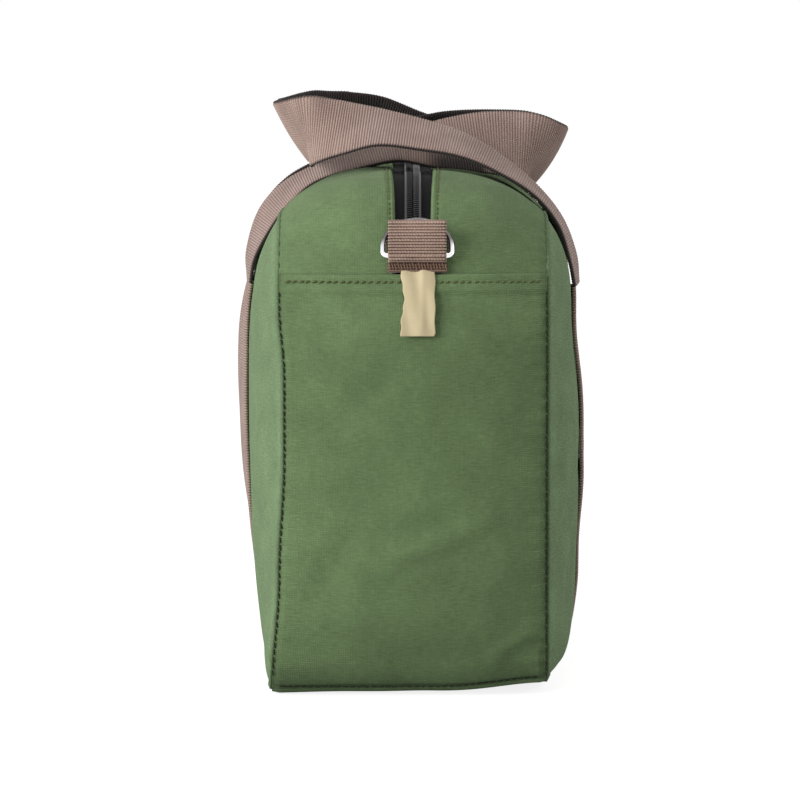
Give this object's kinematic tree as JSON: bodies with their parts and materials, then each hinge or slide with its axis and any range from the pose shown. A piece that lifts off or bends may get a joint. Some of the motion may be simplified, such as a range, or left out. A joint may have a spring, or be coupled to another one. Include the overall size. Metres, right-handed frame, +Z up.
{
  "type": "tool bag",
  "caption": "Long zip-top canvas tool bag, packed full, with two webbing carry handles, D-ring tabs and pockets on its narrow ends.",
  "frame": {"origin": "middle of the underside, on the floor", "axes": "+X across the width, +Y along the length from the labelled end to the other, +Z up"},
  "size_m": [0.1541, 0.404, 0.2549],
  "materials": {
    "canvas": "green cotton canvas, plain weave, matt",
    "canvas_dark": "green cotton canvas, matt",
    "webbing": "taupe ribbed webbing",
    "tab_webbing": "darker taupe ribbed webbing",
    "label": "plain cream woven tape",
    "zip_black": "black woven zip tape",
    "zip_teeth": "black nylon coil",
    "zip_metal": "black lacquered zinc",
    "ring_metal": "bright nickel plate"
  },
  "bodies": {
    "bag": {"face_panel_left": "canvas", "face_panel_right": "canvas", "end_panel_near": "canvas", "end_panel_far": "canvas", "bottom_panel": "canvas_dark", "top_strip_left": "canvas", "top_strip_right": "canvas", "end_pocket_near": "canvas", "end_pocket_far": "canvas", "zip_tape_left": "zip_black", "zip_tape_right": "zip_black", "zip_teeth_left": "zip_teeth", "zip_teeth_right": "zip_teeth", "zip_stop_near": "zip_metal", "zip_stop_far": "zip_metal", "tab_foot_near": "tab_webbing", "tab_foot_far": "tab_webbing", "size_label": "label", "strap_leg_left_near": "webbing", "strap_leg_left_far": "webbing", "strap_leg_right_near": "webbing", "strap_leg_right_far": "webbing", "seam_binding_left": "canvas_dark", "seam_binding_right": "canvas_dark"},
    "slider": {"zip_slider": "zip_metal"},
    "pull": {"zip_pull": "zip_metal"},
    "handle_left": {"handle_left": "webbing"},
    "handle_right": {"handle_right": "webbing"},
    "tab_near": {"ring_tab_near": "tab_webbing"},
    "tab_far": {"ring_tab_far": "tab_webbing"},
    "ring_near": {"d_ring_near": "ring_metal"},
    "ring_far": {"d_ring_far": "ring_metal"}
  },
  "joints": [
    {"name": "zip_slide", "type": "slide", "parent": "bag", "child": "slider", "axis": [0, -1, 0], "range_m": [0, 0.24]},
    {"name": "pull_hinge", "type": "hinge", "parent": "slider", "child": "pull", "pos_m": [0, 0.1225, 0.2234], "axis": [1, 0, 0], "range_deg": [0, 95]},
    {"name": "handle_lift", "type": "hinge", "parent": "bag", "child": "handle_right", "pos_m": [0.07373, 0, 0.168], "axis": [0, 1, 0], "range_deg": [0, 33]},
    {"name": "handle_left_lift", "type": "hinge", "parent": "bag", "child": "handle_left", "pos_m": [-0.07373, 0, 0.168], "axis": [0, -1, 0], "range_deg": [0, 16.5]},
    {"name": "tab_near_hinge", "type": "hinge", "parent": "bag", "child": "tab_near", "pos_m": [0, -0.19241, 0.18494], "axis": [1, 0, 0], "range_deg": [0, 85]},
    {"name": "tab_far_hinge", "type": "hinge", "parent": "bag", "child": "tab_far", "pos_m": [0, 0.19241, 0.18494], "axis": [-1, 0, 0], "range_deg": [0, 85]},
    {"name": "ring_near_hinge", "type": "hinge", "parent": "tab_near", "child": "ring_near", "pos_m": [0, -0.19147, 0.18822], "axis": [-1, 0, 0], "range_deg": [-3, 8]},
    {"name": "ring_far_hinge", "type": "hinge", "parent": "tab_far", "child": "ring_far", "pos_m": [0, 0.19147, 0.18822], "axis": [1, 0, 0], "range_deg": [-3, 8]}
  ],
  "couplings": [
    {"joint": "handle_left_lift", "follows": "handle_lift", "ratio": 0.5}
  ]
}
